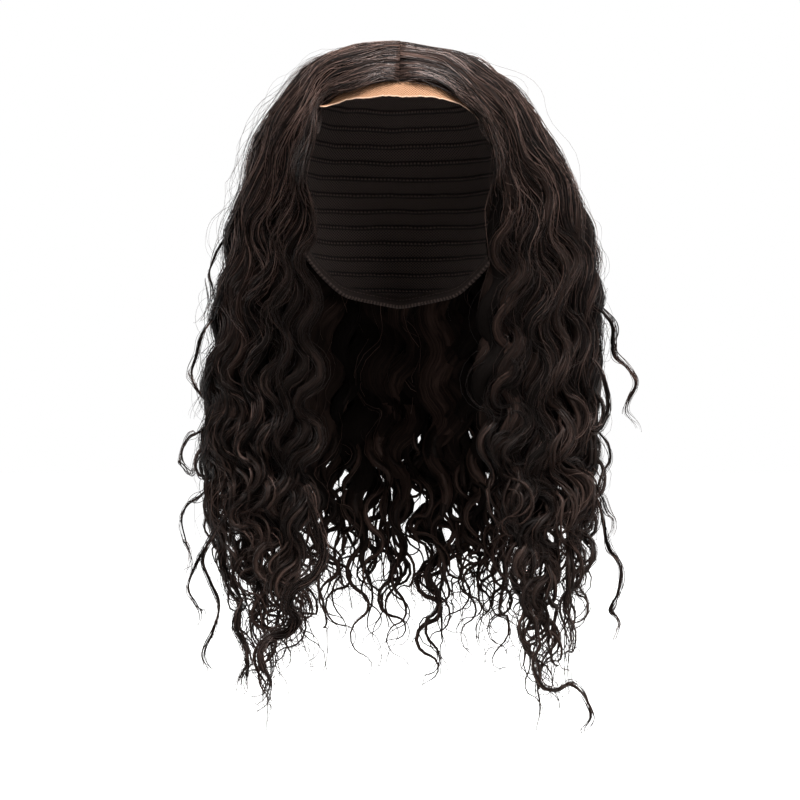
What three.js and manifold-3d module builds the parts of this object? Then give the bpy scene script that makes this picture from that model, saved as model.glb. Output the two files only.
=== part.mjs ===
// A lace closure wig: a stretch cap shaped to the crown of a head, a square of
// lace let into its front, and long wavy hair parted in the middle.
// Millimetres, +Z up, the face looks along -Y and +X is the viewer's right.
// The origin is the inside of the crown, where the top of a head bears on the cap.
import * as THREE from "three";
import Module from "manifold-3d";

const wasm = await Module();
wasm.setup();

// Driving sizes of the cap, which fits a medium head
const HEAD_HALF_WIDTH = 76;
const HEAD_HALF_DEPTH = 96;
const CROWN_HEIGHT = 95; // from the widest level up to the crown
const HEAD_SQUARENESS = 2.4; // exponent of the head's rounded-box form, 2 is an ellipsoid
const CAP_WALL = 1.6;
const CAP_COLUMNS = 36;
const CAP_ROWS = 9;

// The cap's lower edge, by the plan angle from the front: forehead, temple, ear tab, ear, nape
const CAP_RIM = [
  { angle: 0, height: -50 },
  { angle: 36, height: -54 },
  { angle: 58, height: -82 },
  { angle: 78, height: -120 },
  { angle: 96, height: -106 },
  { angle: 122, height: -122 },
  { angle: 150, height: -156 },
  { angle: 180, height: -164 },
];

// The lace closure, a four inch square of lace
const LACE_WIDTH = 102;
const LACE_BACK = 8; // where its rear edge crosses the crown
const LACE_THICKNESS = 1;
const LACE_LIFT = 0.3; // above the inside of the cap
const LACE_FRONT_HEIGHT = -35; // front edge, on the middle of the forehead
const LACE_CORNER_DROP = 12; // how much lower its two front corners lie
const LACE_COLUMNS = 12;
const LACE_ROWS = 10;
const LACE_CROWDING = 1.3; // above 1, its rows lie closer towards the front edge
const SEAM_GAP = 0.4; // between the lace and the cap around it

// The hair
const HAIR_CLEARANCE = 2.2; // between the cap and the roots of the hair
const HAIR_LEAST = 4; // thickness the hair keeps where it lies on the cap
const HAIR_GAP = 1.6; // between the hair of one node and the next
const LOCK_OVERLAP = 0.14; // share of its width by which a lock runs into its neighbour
const WAVE_LENGTH = 72;
const WAVE_REACH = 8; // the sway of the lowest waves to each side
const WAVE_TOP = -70; // height where the hair starts to wave
const WAVE_FULL = -290; // height where the waves reach their full size
const WAVE_TURNS_ROUND = 2; // how often the wave repeats from the face to the back
const INSIDE_STILLNESS = 0.9; // share of the sway that the inside of a lock lacks
const FALL_ROW = 4; // row of HAIR_ROWS from which the hair hangs free and waves
const SPLIT_ROW = 7.5; // row from which the locks hang apart
const TIP_SLIMMING = 0.94; // share of its width that a lock loses by its tip
const TIP_TAPER = 0.8; // below 1, it slims soonest where the locks part
const FULL_FROM = 0.3; // share of the way round where the hair is at its full thickness
const LAID_STEP = 0.5; // rows between the rings of a lock where it lies on the cap
const FREE_STEP = 0.3; // and where it hangs free

// The outer surface of the hair, from the parting down to the ends of the locks. Each row is
// one level: where its front edge frames the face, its widest point at each side, and its back.
const HAIR_ROWS = [
  {
    level: "parting", edgeX: 1.2, edgeY: -73, edgeZ: -17,
    left: 1.4, right: 1.4, sideY: -30, sideZ: 4, backY: 12, backZ: 7.5,
  },
  {
    level: "roots", edgeX: 28, edgeY: -79, edgeZ: -27,
    left: 31, right: 30, sideY: -22, sideZ: 9, backY: 45, backZ: 7,
  },
  {
    level: "crown", edgeX: 49, edgeY: -73, edgeZ: -40,
    left: 61, right: 60, sideY: -14, sideZ: 1, backY: 78, backZ: -10,
  },
  {
    level: "temple", edgeX: 60, edgeY: -62, edgeZ: -66,
    left: 88, right: 89, sideY: -6, sideZ: -28, backY: 102, backZ: -45,
  },
  {
    level: "ear", edgeX: 66, edgeY: -51, edgeZ: -104,
    left: 108, right: 116, sideY: 0, sideZ: -76, backY: 114, backZ: -92,
  },
  {
    level: "cheek", edgeX: 67, edgeY: -47, edgeZ: -150,
    left: 124, right: 138, sideY: 8, sideZ: -130, backY: 119, backZ: -140,
  },
  {
    level: "jaw", edgeX: 61, edgeY: -45, edgeZ: -205,
    left: 136, right: 148, sideY: 14, sideZ: -188, backY: 121, backZ: -195,
  },
  {
    level: "neck", edgeX: 60, edgeY: -47, edgeZ: -262,
    left: 141, right: 148, sideY: 17, sideZ: -252, backY: 119, backZ: -256,
  },
  {
    level: "shoulder", edgeX: 66, edgeY: -52, edgeZ: -322,
    left: 139, right: 142, sideY: 16, sideZ: -315, backY: 114, backZ: -320,
  },
  {
    level: "ends", edgeX: 76, edgeY: -52, edgeZ: -385,
    left: 128, right: 141, sideY: 11, sideZ: -390, backY: 107, backZ: -390,
  },
  {
    level: "tips", edgeX: 86, edgeY: -47, edgeZ: -446,
    left: 108, right: 126, sideY: 6, sideZ: -452, backY: 100, backZ: -448,
  },
];

// How thick the hair is at some of those levels, at the face and round the rest of the head
const HAIR_DEPTH = [
  { row: 0, face: 4, round: 5 },
  { row: 2, face: 7, round: 11 },
  { row: 4, face: 11, round: 19 },
  { row: 6, face: 15, round: 25 },
  { row: 8, face: 17, round: 25 },
  { row: 10, face: 11, round: 13 },
];

// The cross-section of a lock: across its width from -1 to 1, and in from its crest from 0 to 1
const LOCK_SECTION = [
  { across: -1, depth: 0.5 },
  { across: -0.5, depth: 0 },
  { across: 0.5, depth: 0 },
  { across: 1, depth: 0.5 },
  { across: 0.55, depth: 1 },
  { across: -0.55, depth: 1 },
];

// The locks' share of the way round from the face (0) to the middle of the back (1), and the
// row of HAIR_ROWS where each lock ends, listed from the face. The back is listed from the
// left quarter to the right quarter.
const CLOSURE_SPAN = [0, 0.42];
const SIDE_SPAN = [0.42, 0.74];
const BACK_SPAN = [0.74, 1.26];
const CLOSURE_LEFT_ENDS = [9.6, 8.9, 9.7, 9.2];
const CLOSURE_RIGHT_ENDS = [9.1, 10, 9.4, 9.8];
const SIDE_LEFT_ENDS = [9.4, 9.0, 9.5];
const SIDE_RIGHT_ENDS = [9.9, 9.4, 9.7];
const BACK_ENDS = [9.3, 9.7, 9.2, 9.8, 9.4];
const BACK_START = 0.2; // row where the hair of the back comes out of the crown

const hairDark = new THREE.MeshStandardMaterial({ color: 0x1c1415, roughness: 0.45, metalness: 0 });
const capCloth = new THREE.MeshStandardMaterial({ color: 0x18140f, roughness: 0.9, metalness: 0 });
const laceCloth = new THREE.MeshStandardMaterial({ color: 0xd9b08c, roughness: 0.8, metalness: 0 });

// The head that the cap is cut to, let out by a distance: three half-axes about its middle
const headMiddle = -CROWN_HEIGHT;
function headLetOut(distance) {
  return {
    x: HEAD_HALF_WIDTH + distance,
    y: HEAD_HALF_DEPTH + distance,
    z: CROWN_HEIGHT + distance,
  };
}

const powered = (value) => Math.abs(value) ** HEAD_SQUARENESS;
const rooted = (value) => Math.max(value, 0) ** (1 / HEAD_SQUARENESS);

// 1 on the head's surface, less inside it and more outside
function headMeasure(point, head) {
  return powered(point.x / head.x) + powered(point.y / head.y) + powered((point.z - headMiddle) / head.z);
}

// A point of the head's surface by its plan angle from the front and its height share, where
// 1 is the crown, 0 the widest level and -1 the chin
function headPoint(angle, share, head) {
  const out = rooted(1 - powered(share));
  const spread = powered(Math.sin(angle) / head.x) + powered(Math.cos(angle) / head.y);
  const along = spread ** (-1 / HEAD_SQUARENESS);
  return new THREE.Vector3(
    out * along * Math.sin(angle),
    -out * along * Math.cos(angle),
    headMiddle + head.z * share,
  );
}

// Moves a point that lies inside the head straight out from its middle to the surface
function keptOutside(point, head) {
  const measure = headMeasure(point, head);
  if (measure >= 1) return point;
  const middle = new THREE.Vector3(0, 0, headMiddle);
  return point.sub(middle).multiplyScalar(measure ** (-1 / HEAD_SQUARENESS)).add(middle);
}

// The value of one column of a table at a place between its rows, eased through the rows
function smoothColumn(rows, column, at) {
  const last = rows.length - 1;
  const low = Math.min(Math.max(Math.floor(at), 0), last - 1);
  const share = at - low;
  const value = (row) => rows[Math.min(Math.max(row, 0), last)][column];
  const leave = (value(low + 1) - value(low - 1)) / 2;
  const arrive = (value(low + 2) - value(low)) / 2;
  const rise = value(low + 1) - value(low);
  return (
    value(low) +
    share * leave +
    share ** 2 * (3 * rise - 2 * leave - arrive) +
    share ** 3 * (leave + arrive - 2 * rise)
  );
}

// The value of one column of a table whose rows are keyed by another column, in straight steps
function steppedColumn(rows, key, column, at) {
  const next = rows.findIndex((row) => row[key] >= at);
  if (next === 0) return rows[0][column];
  if (next < 0) return rows[rows.length - 1][column];
  const share = (at - rows[next - 1][key]) / (rows[next][key] - rows[next - 1][key]);
  return THREE.MathUtils.lerp(rows[next - 1][column], rows[next][column], share);
}

// The faces between rings of points, each ring with as many points as the next
function wallOfRings(rings) {
  const count = rings[0].length;
  const faces = [];
  for (let ring = 0; ring + 1 < rings.length; ring++) {
    for (let side = 0; side < count; side++) {
      const a = ring * count + side;
      const b = ring * count + ((side + 1) % count);
      faces.push(a, b, b + count, a, b + count, a + count);
    }
  }
  return faces;
}

// A closed solid from rings of points, with a fan of faces at each end
function solidOfRings(rings) {
  const count = rings[0].length;
  const faces = wallOfRings(rings);
  const lastRing = (rings.length - 1) * count;
  for (let side = 1; side + 1 < count; side++) {
    faces.push(0, side + 1, side);
    faces.push(lastRing, lastRing + side, lastRing + side + 1);
  }
  return solidOf(rings.flat(), faces);
}

// A closed solid from its points and the numbers of its faces' corners, turned right side out
function solidOf(points, faces) {
  const mesh = {
    numProp: 3,
    vertProperties: new Float32Array(points.length * 3),
    triVerts: new Uint32Array(faces),
  };
  points.forEach((point, i) => point.toArray(mesh.vertProperties, i * 3));
  const solid = new wasm.Manifold(new wasm.Mesh(mesh));
  if (solid.volume() > 0) return solid;
  for (let i = 0; i < faces.length; i += 3) {
    mesh.triVerts[i] = faces[i + 1];
    mesh.triVerts[i + 1] = faces[i];
  }
  return new wasm.Manifold(new wasm.Mesh(mesh));
}

// A closed solid from a three.js shape, whose corners are joined where they meet
function solidOfGeometry(geometry) {
  const position = geometry.getAttribute("position");
  const points = [];
  const numberOf = new Map();
  const faces = Array.from(geometry.index.array, (i) => {
    const point = new THREE.Vector3().fromBufferAttribute(position, i);
    const key = point.toArray().join(",");
    if (!numberOf.has(key)) numberOf.set(key, points.push(point) - 1);
    return numberOf.get(key);
  });
  return solidOf(points, faces);
}

// A named mesh of one solid
function meshOf(name, solid, material) {
  const { vertProperties, triVerts } = solid.getMesh();
  const geometry = new THREE.BufferGeometry();
  geometry.setAttribute("position", new THREE.BufferAttribute(vertProperties, 3));
  geometry.setIndex(new THREE.BufferAttribute(triVerts, 1));
  const mesh = new THREE.Mesh(geometry, material);
  mesh.name = name;
  return mesh;
}

// The cap: a dome from the crown to its rim, cut away where the lace closure is let in
function makeCap() {
  const surfaces = [headLetOut(CAP_WALL), headLetOut(0)];
  const points = [];
  const faces = [];
  const number = (surface, row, column) =>
    surface * (1 + CAP_ROWS * CAP_COLUMNS) +
    (row === 0 ? 0 : 1 + (row - 1) * CAP_COLUMNS + (column % CAP_COLUMNS));
  surfaces.forEach((head) => {
    points.push(headPoint(0, 1, head));
    for (let row = 1; row <= CAP_ROWS; row++) {
      for (let column = 0; column < CAP_COLUMNS; column++) {
        const angle = (column / CAP_COLUMNS) * 2 * Math.PI;
        const fromFront = 180 - Math.abs(180 - (column / CAP_COLUMNS) * 360);
        const rimShare = (steppedColumn(CAP_RIM, "angle", "height", fromFront) - headMiddle) / CROWN_HEIGHT;
        const rimTilt = Math.asin(Math.sign(rimShare) * Math.sqrt(powered(rimShare)));
        const tilt = THREE.MathUtils.lerp(Math.PI / 2, rimTilt, row / CAP_ROWS);
        const share = Math.sign(tilt) * rooted(Math.sin(tilt) ** 2);
        points.push(headPoint(angle, share, head));
      }
    }
  });
  for (let column = 0; column < CAP_COLUMNS; column++) {
    for (let row = 0; row < CAP_ROWS; row++) {
      const corners = (surface, from, to) => [
        number(surface, row, from),
        number(surface, row + 1, from),
        number(surface, row + 1, to),
        number(surface, row, to),
      ];
      const outer = corners(0, column, column + 1);
      const inner = corners(1, column + 1, column);
      [outer, inner].forEach(([a, b, c, d]) => {
        faces.push(a, b, c);
        if (row > 0) faces.push(a, c, d);
      });
      if (row === 0) faces.splice(-3, 3, number(1, 0, 0), number(1, 1, column + 1), number(1, 1, column));
    }
    const [a, b] = [number(0, CAP_ROWS, column), number(0, CAP_ROWS, column + 1)];
    const [c, d] = [number(1, CAP_ROWS, column + 1), number(1, CAP_ROWS, column)];
    faces.push(a, c, b, a, d, c);
  }
  const dome = solidOf(points, faces);
  const reach = 2 * HEAD_HALF_DEPTH;
  const letIn = new THREE.BoxGeometry(LACE_WIDTH + 2 * SEAM_GAP, reach, reach);
  letIn.translate(0, LACE_BACK + SEAM_GAP - reach / 2, 0);
  return dome.subtract(solidOfGeometry(letIn));
}

// The lace closure: a square of lace bent over the front of the crown
function makeLaceClosure() {
  const surfaces = [headLetOut(LACE_LIFT + LACE_THICKNESS), headLetOut(LACE_LIFT)];
  const onHead = (x, across, head) => {
    const corner = (2 * x) / LACE_WIDTH;
    const frontZ = LACE_FRONT_HEIGHT - LACE_CORNER_DROP * corner ** 2;
    const frontY = -head.y * rooted(1 - powered(x / head.x) - powered((frontZ - headMiddle) / head.z));
    const y = THREE.MathUtils.lerp(frontY, LACE_BACK, across);
    const z = headMiddle + head.z * rooted(1 - powered(x / head.x) - powered(y / head.y));
    return new THREE.Vector3(x, y, z);
  };
  const rings = [];
  for (let row = 0; row <= LACE_ROWS; row++) {
    const across = (row / LACE_ROWS) ** LACE_CROWDING;
    const columns = Array.from({ length: LACE_COLUMNS + 1 }, (_, i) => (i / LACE_COLUMNS - 0.5) * LACE_WIDTH);
    const outer = columns.map((x) => onHead(x, across, surfaces[0]));
    const inner = columns.map((x) => onHead(x, across, surfaces[1])).reverse();
    rings.push([...outer, ...inner]);
  }
  return solidOfStrips(rings);
}

// As solidOfRings, with ends that are strips between the two halves of a ring
function solidOfStrips(rings) {
  const count = rings[0].length;
  const faces = wallOfRings(rings);
  [0, (rings.length - 1) * count].forEach((start, end) => {
    for (let side = 0; side + 1 < count / 2; side++) {
      const [a, b] = [start + side, start + side + 1];
      const [c, d] = [start + count - 2 - side, start + count - 1 - side];
      if (end) faces.push(a, b, c, a, c, d);
      else faces.push(a, c, b, a, d, c);
    }
  });
  return solidOf(rings.flat(), faces);
}

// The outer surface of the hair: round is 0 at the face's left edge, 1 at the middle of the
// back and 2 at the right edge, and row runs down HAIR_ROWS. Each level is two quarter ellipses,
// one from the face's edge to the side and one from there to the back.
function hairSurface(round, row) {
  const hand = round > 1 ? 1 : -1;
  const turn = (round > 1 ? 2 - round : round) * Math.PI;
  const at = (column) => smoothColumn(HAIR_ROWS, column, row);
  const side = at(hand > 0 ? "right" : "left");
  const [across, along] = [Math.sin(turn), -Math.cos(turn)];
  const behind = turn > Math.PI / 2;
  const x = behind ? side * across : at("edgeX") + (side - at("edgeX")) * across;
  const y = at("sideY") + along * (behind ? at("backY") - at("sideY") : at("sideY") - at("edgeY"));
  const z = at("sideZ") + along ** 2 * (at(behind ? "backZ" : "edgeZ") - at("sideZ"));
  return new THREE.Vector3(hand * x, y, z);
}

// The surface with its own directions: outward, and across the locks
function hairFrame(round, row) {
  const step = 0.01;
  const point = hairSurface(round, row);
  const across = hairSurface(round + step, row).sub(hairSurface(round - step, row)).normalize();
  const down = hairSurface(round, row + step).sub(hairSurface(round, row - step)).normalize();
  return { point, across, outward: across.clone().cross(down).normalize() };
}

// One point of a lock: on the hair's surface or some way into its depth, and swayed by the waves
function hairPoint(round, row, depth, slimness) {
  const { point, across, outward } = hairFrame(round, row);
  const fromFace = Math.min(round, 2 - round);
  const face = steppedColumn(HAIR_DEPTH, "row", "face", row);
  const full = steppedColumn(HAIR_DEPTH, "row", "round", row);
  const filled = THREE.MathUtils.smoothstep(fromFace, 0, FULL_FROM);
  const thick = slimness * THREE.MathUtils.lerp(face, full, filled);
  const grown = THREE.MathUtils.smoothstep(-point.z, -WAVE_TOP, -WAVE_FULL);
  const reach = WAVE_REACH * grown * (1 - INSIDE_STILLNESS * depth);
  const phase = 2 * Math.PI * (point.z / WAVE_LENGTH + WAVE_TURNS_ROUND * fromFace);
  point.addScaledVector(outward, -depth * thick + 0.5 * reach * Math.cos(phase));
  point.addScaledVector(across, reach * Math.sin(phase));
  return keptOutside(point, headLetOut(CAP_WALL + HAIR_CLEARANCE + (1 - depth) * HAIR_LEAST));
}

// One lock, a wavy tapering strip of hair between two places round the head
function makeLock(from, to, start, end) {
  const rows = [start];
  for (let row = LAID_STEP; row < FALL_ROW; row += LAID_STEP) rows.push(row);
  for (let row = FALL_ROW; row < end - FREE_STEP / 2; row += FREE_STEP) rows.push(row);
  rows.push(end);
  const middle = (from + to) / 2;
  const rings = rows.map((row) => {
    const parted = THREE.MathUtils.smoothstep(row, SPLIT_ROW, end);
    const slimness = 1 - TIP_SLIMMING * parted ** TIP_TAPER;
    return LOCK_SECTION.map(({ across, depth }) =>
      hairPoint(middle + (across * slimness * (to - from)) / 2, row, depth, slimness),
    );
  });
  return solidOfRings(rings);
}

// The hair of one node: its locks side by side, fused where they run into each other
function makeHair([from, to], ends, mirrored = false, start = 0) {
  const width = (to - from) / ends.length;
  const gap = HAIR_GAP / (Math.PI * HEAD_HALF_DEPTH) / 2;
  const locks = ends.map((end, i) => {
    const low = from + i * width + (i === 0 ? gap : -LOCK_OVERLAP * width);
    const high = from + (i + 1) * width + (i === ends.length - 1 ? -gap : LOCK_OVERLAP * width);
    return mirrored ? makeLock(2 - high, 2 - low, start, end) : makeLock(low, high, start, end);
  });
  // Pockets closed in between the locks are filled
  const shells = locks.reduce((whole, lock) => whole.add(lock)).decompose();
  return shells.filter((shell) => shell.volume() > 0).reduce((whole, shell) => whole.add(shell));
}

const wig = new THREE.Group();
wig.add(meshOf("cap", makeCap(), capCloth));
wig.add(meshOf("lace_closure", makeLaceClosure(), laceCloth));
wig.add(meshOf("closure_hair_left", makeHair(CLOSURE_SPAN, CLOSURE_LEFT_ENDS), hairDark));
wig.add(meshOf("closure_hair_right", makeHair(CLOSURE_SPAN, CLOSURE_RIGHT_ENDS, true), hairDark));
wig.add(meshOf("weft_hair_left", makeHair(SIDE_SPAN, SIDE_LEFT_ENDS), hairDark));
wig.add(meshOf("weft_hair_right", makeHair(SIDE_SPAN, SIDE_RIGHT_ENDS, true), hairDark));
wig.add(meshOf("weft_hair_back", makeHair(BACK_SPAN, BACK_ENDS, false, BACK_START), hairDark));

export default wig;
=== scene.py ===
import math

import bpy
import numpy as np
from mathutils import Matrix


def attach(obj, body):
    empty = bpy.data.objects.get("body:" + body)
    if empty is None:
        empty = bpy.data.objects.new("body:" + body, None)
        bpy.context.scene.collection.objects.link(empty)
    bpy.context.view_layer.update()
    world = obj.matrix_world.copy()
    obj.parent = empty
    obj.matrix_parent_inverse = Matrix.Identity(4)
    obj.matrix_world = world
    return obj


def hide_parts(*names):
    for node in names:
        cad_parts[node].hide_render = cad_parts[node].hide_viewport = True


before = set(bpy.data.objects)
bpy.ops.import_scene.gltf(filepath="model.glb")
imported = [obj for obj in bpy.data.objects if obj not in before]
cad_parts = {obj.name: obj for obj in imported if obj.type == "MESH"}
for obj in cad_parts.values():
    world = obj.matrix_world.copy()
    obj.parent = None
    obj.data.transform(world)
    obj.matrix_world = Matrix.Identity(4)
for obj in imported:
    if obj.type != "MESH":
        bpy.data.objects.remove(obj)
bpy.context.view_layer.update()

# The cap is a dome of dark stretch net in a medium size, with ear tabs and a nape. Rows of weft
# are machine-sewn round it, a folded band binds its edge, and a square opening at the front of
# the crown takes the lace.
HEAD_HALF_WIDTH, HEAD_HALF_DEPTH, CROWN_HEIGHT = 0.076, 0.096, 0.095
HEAD_SQUARENESS = 2.4  # exponent of the rounded box that the cap is cut on, 2 is an ellipsoid
CAP_WALL = 0.0016
OPENING_HALF_WIDTH, OPENING_BACK = 0.0514, 0.0084
RIM_ANGLES = [0, 36, 58, 78, 96, 122, 150, 180]
RIM_HEIGHTS = [-0.050, -0.054, -0.082, -0.120, -0.106, -0.122, -0.156, -0.164]
RIM_SOFTENING, RIM_MARGIN = 15, 20  # degrees that round the rim's corners, and past a full turn
CAP_FRONT_ANGLE = 37
CAP_SIDE_COLUMNS, CAP_BACK_COLUMNS, CAP_ROWS = 30, 90, 46
WEFT_ROW_STEP, WEFT_ROW_WAVER = 0.0115, 0.004
# half widths of a sewn row, of its line of stitches and of a seam, soft between the two
WEFT_ROW_EDGE, WEFT_ROW_FLAT = 0.0021, 0.0016
ROW_STITCH_EDGE, ROW_STITCH_FLAT = 0.0009, 0.0004
SEAM_EDGE, SEAM_FLAT = 0.0006, 0.0002
BAND_WIDTH, BAND_FOLD, BAND_LINE = 0.009, 0.0012, 0.0004
BAND_OUTSIDE, BAND_INSIDE = 0.0003, 0.0008  # how far the band stands out on each side
BAND_LESS = 0.004  # how much narrower the band is round the opening
BAND_SEAM_STEP = 0.0056
NET_THREAD_EDGE, NET_THREAD_FLAT = 0.72, 0.95
CAP_NET_PITCH, STITCH_SCALE, WAVER_SCALE = 0.0021, 125.0, 28.0
NET_RAISE, ROW_RAISE, BAND_RAISE = 0.5, 2.4, 1.6  # heights of the relief, in its own measure
CAP_THREAD, CAP_HOLE = (0.056, 0.041, 0.036), (0.007, 0.0050, 0.0045)
CAP_BAND = (0.028, 0.0200, 0.0175)
WEFT_HAIR, WEFT_THREAD = (0.010, 0.0066, 0.006), (0.085, 0.060, 0.052)


def smoothstep(value, low, high):
    """Eases from 0 at low to 1 at high along s squared times three less two s."""
    share = np.clip((value - low) / (high - low), 0, 1)
    return share**2 * (3 - 2 * share)


def head_point(angle, tilt, out):
    """A point of the form that the cap is cut on, let out by a distance. The form is a rounded box:
    the sine of the tilt gives the height and its cosine the reach, each to the power 2 over the
    squareness, and the plan angle from the front gives the reach of the level's own rounded
    rectangle."""
    power = 2 / HEAD_SQUARENESS
    rise = np.sign(np.sin(tilt)) * np.abs(np.sin(tilt)) ** power
    reach = np.abs(np.cos(tilt)) ** power * (
        np.abs(np.sin(angle) / (HEAD_HALF_WIDTH + out)) ** HEAD_SQUARENESS
        + np.abs(np.cos(angle) / (HEAD_HALF_DEPTH + out)) ** HEAD_SQUARENESS
    ) ** (-1 / HEAD_SQUARENESS)
    height = (CROWN_HEIGHT + out) * rise - CROWN_HEIGHT
    return np.stack([reach * np.sin(angle), -reach * np.cos(angle), height], axis=-1)


def run_along(points, axis):
    """The length run so far along lines of points: the steps between neighbours, summed from 0."""
    step = np.linalg.norm(np.diff(points, axis=axis), axis=-1)
    start = np.zeros_like(np.take(step, [0], axis=axis))
    return np.concatenate([start, np.cumsum(step, axis=axis)], axis=axis)


def closed_wall(outer, inner):
    """Two grids of points as one closed wall: both faces, the inner one turned round, and a strip
    along each of the four edges. Gives the points and the corners of the quads."""
    rows, columns = outer.shape[:2]
    number = np.arange(2 * rows * columns).reshape(2, rows, columns)
    here, below = number[:, :-1, :-1], number[:, 1:, :-1]
    beside, opposite = number[:, :-1, 1:], number[:, 1:, 1:]
    front = np.stack([here[0], below[0], opposite[0], beside[0]], -1)
    back = np.stack([here[1], beside[1], opposite[1], below[1]], -1)
    top, right = number[:, 0, :-1], number[:, :-1, -1]
    bottom, left = number[:, -1, :0:-1], number[:, :0:-1, 0]
    edge = np.concatenate([top, right, bottom, left], 1)
    after = np.roll(edge, -1, axis=1)
    strip = np.stack([edge[0], after[0], after[1], edge[1]], -1)
    points = np.concatenate([outer.reshape(-1, 3), inner.reshape(-1, 3)])
    return points, np.concatenate([front.reshape(-1, 4), back.reshape(-1, 4), strip])


def facing_out(points, quads):
    """Turns every quad round if the volume they enclose, summed from the origin, is negative."""
    a, b, c, d = (points[quads[:, i]] for i in range(4))
    volume = np.einsum("ij,ij->", a, np.cross(b, c)) + np.einsum("ij,ij->", a, np.cross(c, d))
    return quads if volume > 0 else quads[:, ::-1]


def new_piece(name, points, quads, triangles=np.zeros((0, 3), int)):
    """A smooth-shaded mesh object from arrays of points and corners, and its corners in order."""
    mesh = bpy.data.meshes.new(name)
    corners = np.concatenate([quads.ravel(), triangles.ravel()]).astype(np.int32)
    quad_starts = np.arange(len(quads)) * 4
    triangle_starts = len(quads) * 4 + np.arange(len(triangles)) * 3
    starts = np.concatenate([quad_starts, triangle_starts])
    mesh.vertices.add(len(points))
    mesh.vertices.foreach_set("co", points.astype(np.float32).ravel())
    mesh.loops.add(len(corners))
    mesh.loops.foreach_set("vertex_index", corners)
    mesh.polygons.add(len(starts))
    mesh.polygons.foreach_set("loop_start", starts.astype(np.int32))
    mesh.polygons.foreach_set("use_smooth", np.ones(len(starts), bool))
    mesh.update(calc_edges=True)
    piece = bpy.data.objects.new(name, mesh)
    bpy.context.scene.collection.objects.link(piece)
    return piece, corners


def give_uv(piece, name, uv):
    """Lays a map on a piece, one pair of values for each corner in order."""
    layer = piece.data.uv_layers.new(name=name)
    layer.data.foreach_set("uv", uv.astype(np.float32).ravel())


def give_values(piece, name, values):
    """Gives each point of a piece a value of its own, or three of them."""
    kind, field = ("FLOAT", "value") if values.ndim == 1 else ("FLOAT_VECTOR", "vector")
    layer = piece.data.attributes.new(name, kind, "POINT")
    layer.data.foreach_set(field, values.astype(np.float32).ravel())


def add_node(tree, kind, **sockets):
    """Adds a shader node. A keyword names an input, with spaces as underscores or as an underscore
    and its number, and gives it a value or another node's output."""
    made = tree.nodes.new(kind)
    for name, value in sockets.items():
        key = int(name[1:]) if name[1:].isdigit() else name.replace("_", " ")
        if isinstance(value, bpy.types.NodeSocket):
            tree.links.new(value, made.inputs[key])
        else:
            made.inputs[key].default_value = value
    return made


def add_math(tree, operation, first, second=0.0):
    """One sum on two values, as the name of the operation says."""
    made = add_node(tree, "ShaderNodeMath", _0=first, _1=second)
    made.operation = operation
    return made.outputs[0]


def add_range(tree, value, low, high, at_low=0.0, at_high=1.0):
    """A value that goes in a straight line from at_low to at_high as the given value goes from low to
    high, and stays there beyond."""
    made = add_node(tree, "ShaderNodeMapRange", Value=value, From_Min=low, From_Max=high)
    made.inputs["To Min"].default_value = at_low
    made.inputs["To Max"].default_value = at_high
    return made.outputs[0]


def add_blend(tree, share, low, high):
    """A colour that goes from low to high as share goes from 0 to 1."""
    made = tree.nodes.new("ShaderNodeMix")
    made.data_type = "RGBA"
    for socket, value in zip((made.inputs[0], made.inputs[6], made.inputs[7]), (share, low, high)):
        if isinstance(value, bpy.types.NodeSocket):
            tree.links.new(value, socket)
        else:
            socket.default_value = (*value, 1) if isinstance(value, tuple) else value
    return made.outputs[2]


def add_attribute(tree, name):
    """A node that reads the values given to the points of a piece under a name."""
    made = tree.nodes.new("ShaderNodeAttribute")
    made.attribute_name = name
    return made


def new_material(name, **sockets):
    """A Principled material with the inputs that stay the same all over it, named as in add_node,
    and the tree to add nodes to."""
    material = bpy.data.materials.new(name)
    material.use_nodes = True
    surface = material.node_tree.nodes["Principled BSDF"]
    for socket, value in sockets.items():
        surface.inputs[socket.replace("_", " ")].default_value = value
    return material, material.node_tree, surface


def add_relief(tree, surface, height, strength, distance):
    """Raises a material by a height that changes over it, times a distance in metres."""
    bump = add_node(tree, "ShaderNodeBump", Height=height, Strength=strength, Distance=distance)
    tree.links.new(bump.outputs[0], surface.inputs["Normal"])


def net_group():
    """Threads of a fine net: two sets of lines on the diagonals of a map in metres, a pitch apart.
    Thread is 1 on a line and 0 in the holes between."""
    group = bpy.data.node_groups.new("net threads", "ShaderNodeTree")
    group.interface.new_socket("Map", in_out="INPUT", socket_type="NodeSocketVector")
    group.interface.new_socket("Pitch", in_out="INPUT", socket_type="NodeSocketFloat")
    group.interface.new_socket("Thread", in_out="OUTPUT", socket_type="NodeSocketFloat")
    given, put = group.nodes.new("NodeGroupInput"), group.nodes.new("NodeGroupOutput")
    apart = add_node(group, "ShaderNodeSeparateXYZ", Vector=given.outputs["Map"])
    turn = add_math(group, "DIVIDE", math.pi, given.outputs["Pitch"])
    lines = []
    for operation in ("ADD", "SUBTRACT"):
        across = add_math(group, operation, apart.outputs["X"], apart.outputs["Y"])
        swing = add_math(group, "COSINE", add_math(group, "MULTIPLY", across, turn))
        lines.append(add_math(group, "ABSOLUTE", swing))
    thread = add_range(group, add_math(group, "MAXIMUM", *lines), NET_THREAD_EDGE, NET_THREAD_FLAT)
    group.links.new(thread, put.inputs["Thread"])
    return group


def add_net(tree, pitch):
    """The threads of the net on a piece's own map of its cloth, and that map."""
    cloth = tree.nodes.new("ShaderNodeUVMap")
    cloth.uv_map = "cloth"
    threads = tree.nodes.new("ShaderNodeGroup")
    threads.node_tree = net
    tree.links.new(cloth.outputs[0], threads.inputs["Map"])
    threads.inputs["Pitch"].default_value = pitch
    return threads.outputs["Thread"], cloth.outputs[0]


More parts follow.
